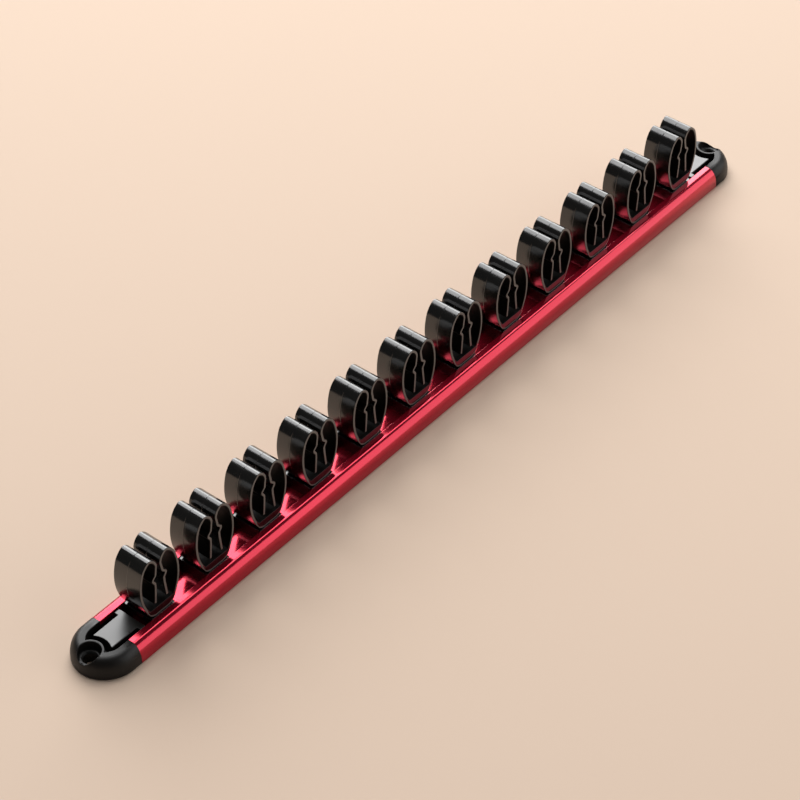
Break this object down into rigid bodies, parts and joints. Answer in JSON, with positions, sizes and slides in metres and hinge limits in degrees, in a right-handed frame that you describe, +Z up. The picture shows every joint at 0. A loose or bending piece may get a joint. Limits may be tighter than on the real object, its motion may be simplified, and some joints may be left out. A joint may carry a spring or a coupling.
{
  "type": "screwdriver rack",
  "caption": "Low red rail with rounded black end caps and a row of sliding egg-shaped spring clips that grip screwdriver shafts laid across it.",
  "frame": {"origin": "on the table, under the middle of the rail", "axes": "+X along the rail towards the right end cap, +Y across the rail, +Z up"},
  "size_m": [0.47, 0.0318, 0.0433],
  "materials": {
    "rail": "glossy red anodised",
    "cap": "satin black",
    "clip": "gloss black",
    "slider": "gloss black",
    "spring_steel": "bright spring steel"
  },
  "bodies": {
    "rack": {"rail": "rail", "end_cap_left": "cap", "end_cap_right": "cap"},
    "clip_01": {"spring_clip_01": "clip", "slider_01": "slider", "friction_leaf_01": "spring_steel"},
    "clip_02": {"spring_clip_02": "clip", "slider_02": "slider", "friction_leaf_02": "spring_steel"},
    "clip_03": {"spring_clip_03": "clip", "slider_03": "slider", "friction_leaf_03": "spring_steel"},
    "clip_04": {"spring_clip_04": "clip", "slider_04": "slider", "friction_leaf_04": "spring_steel"},
    "clip_05": {"spring_clip_05": "clip", "slider_05": "slider", "friction_leaf_05": "spring_steel"},
    "clip_06": {"spring_clip_06": "clip", "slider_06": "slider", "friction_leaf_06": "spring_steel"},
    "clip_07": {"spring_clip_07": "clip", "slider_07": "slider", "friction_leaf_07": "spring_steel"},
    "clip_08": {"spring_clip_08": "clip", "slider_08": "slider", "friction_leaf_08": "spring_steel"},
    "clip_09": {"spring_clip_09": "clip", "slider_09": "slider", "friction_leaf_09": "spring_steel"},
    "clip_10": {"spring_clip_10": "clip", "slider_10": "slider", "friction_leaf_10": "spring_steel"},
    "clip_11": {"spring_clip_11": "clip", "slider_11": "slider", "friction_leaf_11": "spring_steel"},
    "clip_12": {"spring_clip_12": "clip", "slider_12": "slider", "friction_leaf_12": "spring_steel"}
  },
  "joints": [
    {"name": "clip_01_slide", "type": "slide", "parent": "rack", "child": "clip_01", "axis": [1, 0, 0], "range_m": [-0.003, 0.0104]},
    {"name": "clip_02_slide", "type": "slide", "parent": "rack", "child": "clip_02", "axis": [1, 0, 0], "range_m": [-0.0104, 0.0104]},
    {"name": "clip_03_slide", "type": "slide", "parent": "rack", "child": "clip_03", "axis": [1, 0, 0], "range_m": [-0.0104, 0.0104]},
    {"name": "clip_04_slide", "type": "slide", "parent": "rack", "child": "clip_04", "axis": [1, 0, 0], "range_m": [-0.0104, 0.0104]},
    {"name": "clip_05_slide", "type": "slide", "parent": "rack", "child": "clip_05", "axis": [1, 0, 0], "range_m": [-0.0104, 0.0104]},
    {"name": "clip_06_slide", "type": "slide", "parent": "rack", "child": "clip_06", "axis": [1, 0, 0], "range_m": [-0.0104, 0.0104]},
    {"name": "clip_07_slide", "type": "slide", "parent": "rack", "child": "clip_07", "axis": [1, 0, 0], "range_m": [-0.0104, 0.0104]},
    {"name": "clip_08_slide", "type": "slide", "parent": "rack", "child": "clip_08", "axis": [1, 0, 0], "range_m": [-0.0104, 0.0104]},
    {"name": "clip_09_slide", "type": "slide", "parent": "rack", "child": "clip_09", "axis": [1, 0, 0], "range_m": [-0.0104, 0.0104]},
    {"name": "clip_10_slide", "type": "slide", "parent": "rack", "child": "clip_10", "axis": [1, 0, 0], "range_m": [-0.0104, 0.0104]},
    {"name": "clip_11_slide", "type": "slide", "parent": "rack", "child": "clip_11", "axis": [1, 0, 0], "range_m": [-0.0104, 0.0104]},
    {"name": "clip_12_slide", "type": "slide", "parent": "rack", "child": "clip_12", "axis": [1, 0, 0], "range_m": [-0.0104, 0.0017]}
  ]
}
